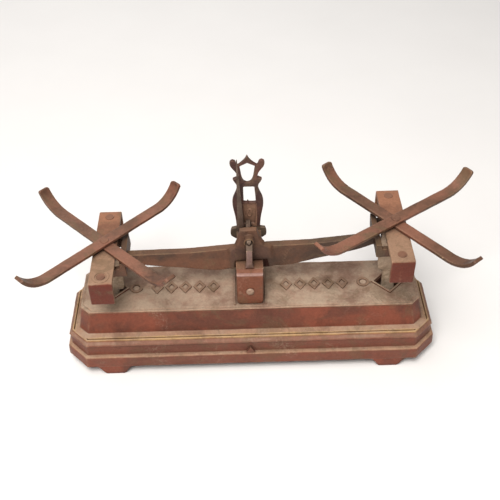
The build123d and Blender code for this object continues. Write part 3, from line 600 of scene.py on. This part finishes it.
# the outside as (level, step) in millimetres, from the skirt's foot upwards
SKIRT = [(11, 19.0), (11.1, 19.5), (11.6, 19.8)]
SKIRT += [(11.6 + 1.5 * i, 19.8 - 0.06 * i) for i in range(1, 8)]
SKIRT += [(23.4, 19.3), (24.1, 19.0), (24.6, 18.4), (24.8, 17.6), (24.9, 16.6), (25.0, 15.9), (25.5, 15.5)]
PLINTH = [(26.5 + 1.3 * i, 15.35 + 0.02 * i) for i in range(9)]
PLINTH += [(37.6, 15.7), (38.1, 16.2), (38.8, 16.4), (39.5, 16.3), (40.2, 15.7), (41.2, 14.6), (42.1, 13.7)]
BEAD = [(42.7, 13.2), (43.4, 13.1), (44.0, 12.9), (44.35, 12.4), (44.4, 11.9), (44.25, 11.5), (43.8, 11.3)]
BEAD += [(43.2, 11.2), (42.9, 11.0), (42.9, 10.6), (43.2, 10.4), (43.9, 10.35), (44.3, 10.2)]
COVE = [(44.55, 9.6), (44.8, 8.6), (45.1, 7.6), (45.4, 6.6), (45.7, 5.8), (46.0, 5.2), (46.4, 4.8)]
FACE = [(47.0 + 1.45 * i, 4.62 - 0.262 * i) for i in range(17)]
LIP = [(70.2, 0.25), (70.5, 0.35), (70.9, 0.8), (71.4, 1.0), (71.9, 0.9), (72.3, 0.5), (72.5, -0.1)]
LIP += [(72.5, -0.7)]
TOP_PLATE = [(72.3, -1.1), (71.9, -1.5), (71.9, -2.0), (72.2, -2.5)]
TOP_PLATE += [(72.5, -3.2 - 1.78 * i) for i in range(16)]
HOLLOW_BELOW = [(0, 13.8), (38, 10.8)]
HOLLOW_ABOVE = [(37, -6), (67.5, -6)]


def through_top(name, points):
    """A cutting tool through the top plate."""
    return prism(name, points, HOLE_BOTTOM, HOLE_TOP)


def base_body():
    """The hollow stepped body with its holes for stems, plugs and screws."""
    lower = growing_loops(SKIRT + PLINTH + BEAD)
    upper = plate_loops(COVE + FACE + LIP + TOP_PLATE)
    base = lofted("base_casting_body", lower + upper)
    carve(base, lofted("hollow_below", growing_loops(HOLLOW_BELOW)))
    carve(base, lofted("hollow_above", growing_loops(HOLLOW_ABOVE)))
    for side, sign in SIDES.items():
        carve(base, through_top("stem_hole", diamond(STEM_X[side], STEM_HOLE, STEM_HOLE)))
        carve(base, through_top("plug_hole", circle(CENTRE_X + sign * PLUG_X, 0, PLUG_RADIUS)))
        carve(base, through_top("screw_hole", circle(CENTRE_X + sign * SCREW_X, 0, SCREW_RADIUS, count=24)))
    push(base, LUMPS, BASE_LUMPS)
    push(base, GRAIN, BASE_GRAIN)
    finish_piece(base, "base_casting")
    base.data.set_sharp_from_angle(angle=SHARP_ANGLE)


# ---------------------------------------------------------------- relief of the top plate
SUNK = 0.002   # how far a detail starts below the face that it stands on
CLEAR = 0.004  # how far an opening's tool passes both ends of the detail
RIM_RISE, RING_RISE, TAIL_RISE, LOZENGE_RISE, RIB_RISE = 0.0015, 0.0012, 0.0008, 0.0012, 0.0011
RIM_OUTSIDE, RIM_INSIDE = 0.0174, 0.0144
RING_OUTSIDE, RING_INSIDE = 0.0065, 0.0038
RING_LAP, RIM_LAP = 0.0007, 0.0004  # how far the tail runs into the ring and the rim
LOZENGES = 5
LOZENGES_MIDDLE = 0.066
LOZENGE_SPACING = 0.0144
LOZENGE_OUTSIDE = (0.0066, 0.0092)
LOZENGE_INSIDE = (0.0032, 0.0044)
RIB_X = 0.0156
RIB_HALF = 0.0008
RIB_FRONT, RIB_BACK = -0.028, 0.03


def raised(name, points, rise, opening=None, level=TOP_Z, sunk=SUNK, **finish):
    """A detail that stands up from a level face, with an opening through it if one is given."""
    detail = prism(name, points, level - sunk, level + rise)
    if opening:
        carve(detail, prism("opening", opening, level - CLEAR, level + CLEAR))
    relief(detail, **finish)


def stem_rim(side):
    """The rim round a diamond-shaped stem hole."""
    outside = diamond(STEM_X[side], RIM_OUTSIDE, RIM_OUTSIDE)
    inside = diamond(STEM_X[side], RIM_INSIDE, RIM_INSIDE)
    raised(side + "_stem_rim", outside, RIM_RISE, inside, voxel=0.00035, smoothing=8)


def plug_ring(side, sign):
    """The ring round a seal plug, with its tail towards the stem hole."""
    x = CENTRE_X + sign * PLUG_X
    outside, inside = circle(x, 0, RING_OUTSIDE), circle(x, 0, RING_INSIDE)
    raised(side + "_plug_ring", outside, RING_RISE, inside, look="relief_iron")
    ring_end = x + sign * (RING_OUTSIDE - RING_LAP)
    rim_end = STEM_X[side] - sign * (RIM_OUTSIDE - RIM_LAP)
    near, far = sorted((ring_end, rim_end))
    bend = (near + far) / 2
    tail = [(near, -0.0016), (bend, -0.0026), (far, -0.0014), (far, 0.0014), (bend, 0.0004), (near, 0.0014)]
    raised(side + "_ring_tail", tail, TAIL_RISE, look="relief_iron")


def lozenge_row(side, sign):
    """The row of plain lozenges between the ring and the pillar."""
    for k in range(LOZENGES):
        x = CENTRE_X + sign * LOZENGES_MIDDLE + (k - LOZENGES // 2) * LOZENGE_SPACING
        outside, inside = diamond(x, *LOZENGE_OUTSIDE), diamond(x, *LOZENGE_INSIDE)
        raised(f"{side}_lozenge_{k + 1}", outside, LOZENGE_RISE, inside, smoothing=4, look="relief_iron")


def seat_rib(side, sign):
    """The low rib beside the pillar's seat."""
    left, right = across(sign * RIB_X - RIB_HALF, sign * RIB_X + RIB_HALF)
    rib = [(left, RIB_FRONT), (right, RIB_FRONT), (right, RIB_BACK), (left, RIB_BACK)]
    raised(side + "_seat_rib", rib, RIB_RISE)


# ---------------------------------------------------------------- skirt peak and feet
PEAK_X, PEAK_HALF = -0.0009, 0.0053
PEAK_FOOT, PEAK_TOP = 0.0236, 0.0332
PEAK_FRONT, PEAK_BACK = -0.0505, -0.0465
FOOT_X = 0.1415
FOOT_Y = 0.0514
FOOT_DEPTH = 0.008
FOOT_SIDE = [(19.5, 11.8), (19.2, 11.0), (17.2, 10.2), (15.4, 8.6), (14.0, 6.6), (12.6, 4.2), (11.0, 1.6)]
FOOT_SIDE += [(8.9, 0.1)]


def skirt_peak():
    """The small pointed peak on the front of the skirt."""
    left, right = across(PEAK_X - PEAK_HALF, PEAK_X + PEAK_HALF)
    points = [(left, PEAK_FOOT), (right, PEAK_FOOT), (CENTRE_X + PEAK_X, PEAK_TOP)]
    relief(lying_prism("skirt_peak", points, PEAK_FRONT, PEAK_BACK), voxel=0.00035)


def bracket_foot(name, x, outer, inner):
    """A foot with curved sides under a corner of the skirt."""
    side = [(a * MM, b * MM) for a, b in FOOT_SIDE]
    points = [(x + a, b) for a, b in side] + [(x - a, b) for a, b in reversed(side)]
    relief(lying_prism(name, points, min(outer, inner), max(outer, inner)), voxel=0.0005, grain=0.0003)


base_body()
for side, sign in SIDES.items():
    stem_rim(side)
    plug_ring(side, sign)
    lozenge_row(side, sign)
    seat_rib(side, sign)
skirt_peak()
for row, out in (("front", -1), ("rear", 1)):
    for side, sign in SIDES.items():
        x = CENTRE_X + sign * FOOT_X
        bracket_foot(f"{row}_{side}_foot", x, out * FOOT_Y, out * (FOOT_Y - FOOT_DEPTH))


# ---------------------------------------------------------------- the other castings
STIRRUP_RING_OUTSIDE, STIRRUP_RING_INSIDE = 0.0082, 0.0056
STIRRUP_RING_RISE, STIRRUP_RING_SUNK = 0.0007, 0.001

for node in ("pillar", "beam"):
    cast_piece(node, voxel=0.0006)
cast_piece("pillar_front_plate", voxel=0.0005, look="plate_iron")
cast_piece("lyre", voxel=0.0005, smoothing=4)
for side in SIDES:
    cast_piece(side + "_stirrup", voxel=0.0006, smoothing=8)
    cast_piece(side + "_stem_plate", voxel=0.0006)
    cast_piece(side + "_lower_strip", voxel=0.0005, smoothing=5)
    cast_piece(side + "_upper_strip", voxel=0.0005, smoothing=5)



def left_stirrup_ring():
    """The raised ring round the front rivet of the left stirrup."""
    outside = circle(STEM_X["left"], FRONT_RIVET_Y, STIRRUP_RING_OUTSIDE)
    inside = circle(STEM_X["left"], FRONT_RIVET_Y, STIRRUP_RING_INSIDE)
    raised("left_stirrup_ring", outside, STIRRUP_RING_RISE, inside,
           level=LEFT_STIRRUP_TOP, sunk=STIRRUP_RING_SUNK, smoothing=4, node="left_stirrup")


left_stirrup_ring()


# ---------------------------------------------------------------- the small nodes keep their CAD shape
BEVEL_WIDTH = 0.0003
BEVEL_FROM = math.radians(35)
# the pillar's rivet takes the lighter look with the painted highlight
OWN_LOOK = {"pillar_rivet": "rivet_painted_highlight"}


def round_edges(node):
    weld(node)
    bevel = node.modifiers.new("bevel", "BEVEL")
    bevel.width = BEVEL_WIDTH
    bevel.segments = 2
    bevel.limit_method = "ANGLE"
    bevel.angle_limit = BEVEL_FROM


for name, node in nodes.items():
    if not node.hide_render:
        node.data.materials.clear()
        node.data.materials.append(irons[OWN_LOOK.get(name, slot_of[name])])
        round_edges(node)


# ---------------------------------------------------------------- floor and light
FLOOR_HALF = 6.0
FLOOR_DARKEST, FLOOR_LIGHTEST = (0.72, 0.71, 0.7, 1), (0.76, 0.75, 0.74, 1)
SKY_COLOUR = (1.0, 0.98, 0.96, 1)
SKY_STRENGTH = 0.30
LIGHTS = {
    "key": dict(at=(-0.25, -0.95, 1.65), target=(0, 0, 0.08), size=1.0, power=43, tint=(1, 0.97, 0.93)),
    "fill": dict(at=(-0.5, -0.2, 1.9), target=(0, 0, 0.08), size=1.2, power=12, tint=(1, 0.96, 0.95)),
    "back": dict(at=(-0.4, 1.4, 1.1), target=(0, 0, 0.1), size=1.2, power=6, tint=(1, 1, 1)),
}


def add_floor():
    """A plain pale floor with a faint grain."""
    look = Look("floor")
    grain = look.noise(scale=9, detail=3, rough=0.5)
    look.link(look.mix(grain, FLOOR_DARKEST, FLOOR_LIGHTEST), look.shader.inputs["Base Color"])
    look.shader.inputs["Roughness"].default_value = 0.75
    corners = [(-FLOOR_HALF, -FLOOR_HALF, 0), (FLOOR_HALF, -FLOOR_HALF, 0),
               (FLOOR_HALF, FLOOR_HALF, 0), (-FLOOR_HALF, FLOOR_HALF, 0)]
    mesh = bpy.data.meshes.new("floor")
    mesh.from_pydata(corners, [], [(0, 1, 2, 3)])
    mesh.materials.append(look.material)
    floor = bpy.data.objects.new("floor", mesh)
    scene.collection.objects.link(floor)


def add_world():
    """An even warm white light from all round."""
    world = bpy.data.worlds.new("world")
    scene.world = world
    world.use_nodes = True
    background = world.node_tree.nodes["Background"]
    background.inputs["Color"].default_value = SKY_COLOUR
    background.inputs["Strength"].default_value = SKY_STRENGTH


def area_light(name, at, target, size, power, tint):
    light = bpy.data.lights.new(name, "AREA")
    light.shape = "DISK"
    light.size = size
    light.energy = power
    light.color = tint
    obj = bpy.data.objects.new(name, light)
    obj.location = at
    obj.rotation_euler = (Vector(target) - Vector(at)).to_track_quat("-Z", "Y").to_euler()
    scene.collection.objects.link(obj)


add_floor()
add_world()
for name, values in LIGHTS.items():
    area_light(name, **values)
scene.view_settings.view_transform = "Standard"
